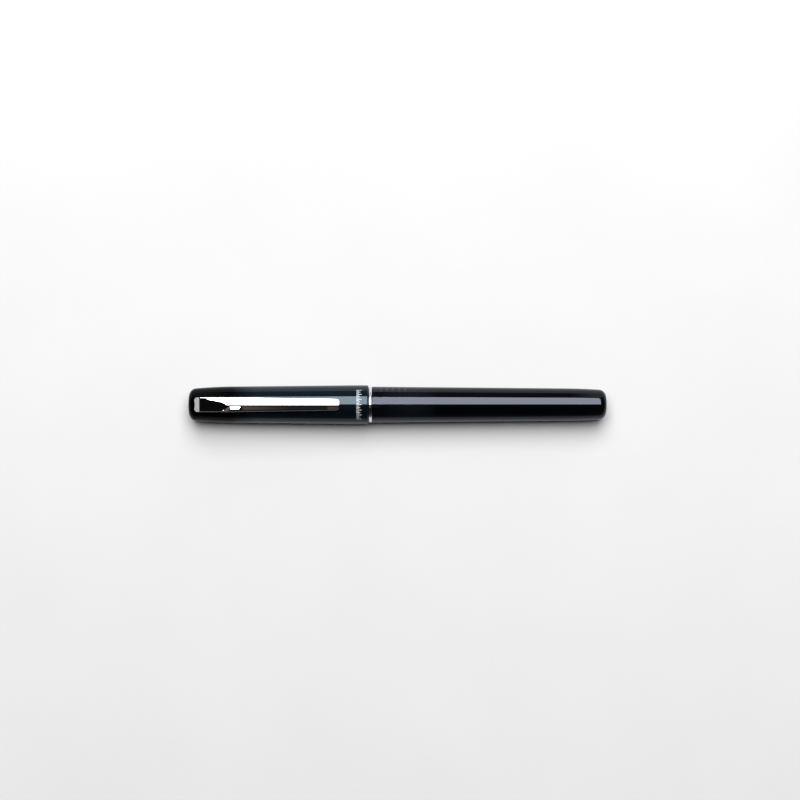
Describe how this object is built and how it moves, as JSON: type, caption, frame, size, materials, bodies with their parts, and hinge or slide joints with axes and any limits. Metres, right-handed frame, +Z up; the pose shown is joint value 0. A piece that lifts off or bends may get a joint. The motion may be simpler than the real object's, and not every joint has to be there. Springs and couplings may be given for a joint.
{
  "type": "capped fountain pen",
  "caption": "Capped fountain pen with a steel clip, a bright trim ring, a screw-on barrel, a steel nib and a twist converter.",
  "frame": {"origin": "under the middle of the pen's length, on the level that the widest part of the cap rests on", "axes": "+X along the pen from the cap's closed end to the barrel's closed end, +Z up through the clip, +Y across the pen"},
  "size_m": [0.138, 0.0128, 0.0141],
  "materials": {
    "dark_resin": "polished dark blue-black translucent resin",
    "grip_resin": "polished dark translucent resin",
    "bright_steel": "mirror-polished spring steel",
    "bright_ring": "bright plated ring",
    "inner_cap_resin": "frosted natural plastic",
    "spring_steel": "drawn spring wire",
    "nib_steel": "polished stamped steel",
    "tipping_alloy": "ground hard alloy",
    "feed_plastic": "dull black moulded plastic",
    "clear_plastic": "clear moulded plastic",
    "dark_collar": "black-plated sleeve",
    "dark_plastic": "dull moulded plastic",
    "knob_plastic": "moulded plastic with flutes",
    "rod_plastic": "natural acetal",
    "seal_rubber": "soft moulded seal"
  },
  "bodies": {
    "writing_unit": {"grip_section": "grip_resin", "nib": "nib_steel", "nib_tipping": "tipping_alloy", "feed": "feed_plastic"},
    "cap": {"cap_shell": "dark_resin", "clip_retainer": "dark_resin", "inner_cap_spring": "spring_steel"},
    "clip": {"clip": "bright_steel"},
    "inner_cap": {"inner_cap": "inner_cap_resin"},
    "ring": {"trim_ring": "bright_ring"},
    "barrel": {"barrel": "dark_resin"},
    "converter": {"converter_tube": "clear_plastic", "converter_collar": "dark_collar", "converter_guide": "dark_plastic"},
    "knob": {"converter_knob": "knob_plastic", "converter_spindle": "dark_plastic"},
    "piston": {"piston_rod": "rod_plastic", "piston_seal": "seal_rubber"}
  },
  "joints": [
    {"name": "cap_pull", "type": "slide", "parent": "writing_unit", "child": "cap", "axis": [-1, 0, 0], "range_m": [0, 0.045]},
    {"name": "clip_bend", "type": "hinge", "parent": "cap", "child": "clip", "pos_m": [-0.0664, 0, 0.01015], "axis": [0, -1, 0], "range_deg": [0, 3], "stiffness_Nm_per_rad": 4, "springref_deg": -0.57},
    {"name": "inner_cap_give", "type": "slide", "parent": "cap", "child": "inner_cap", "axis": [-1, 0, 0], "range_m": [0, 0.0015], "stiffness_N_per_m": 300, "springref_m": -0.001, "deforming": ["inner_cap_spring"]},
    {"name": "ring_travel", "type": "slide", "parent": "writing_unit", "child": "ring", "axis": [1, 0, 0], "range_m": [0, 0.072]},
    {"name": "barrel_turn", "type": "hinge", "parent": "ring", "child": "barrel", "pos_m": [-0.0085, 0, 0.00645], "axis": [1, 0, 0], "range_deg": [0, 4320]},
    {"name": "converter_pull", "type": "slide", "parent": "writing_unit", "child": "converter", "axis": [1, 0, 0], "range_m": [0, 0.008]},
    {"name": "knob_turn", "type": "hinge", "parent": "converter", "child": "knob", "pos_m": [0.0353, 0, 0.00645], "axis": [1, 0, 0], "range_deg": [0, 1620]},
    {"name": "piston_travel", "type": "slide", "parent": "converter", "child": "piston", "axis": [-1, 0, 0], "range_m": [0, 0.018]}
  ],
  "couplings": [
    {"joint": "barrel_turn", "follows": "ring_travel", "rad_per_m": 1047.2},
    {"joint": "knob_turn", "follows": "piston_travel", "rad_per_m": 1570.8}
  ]
}
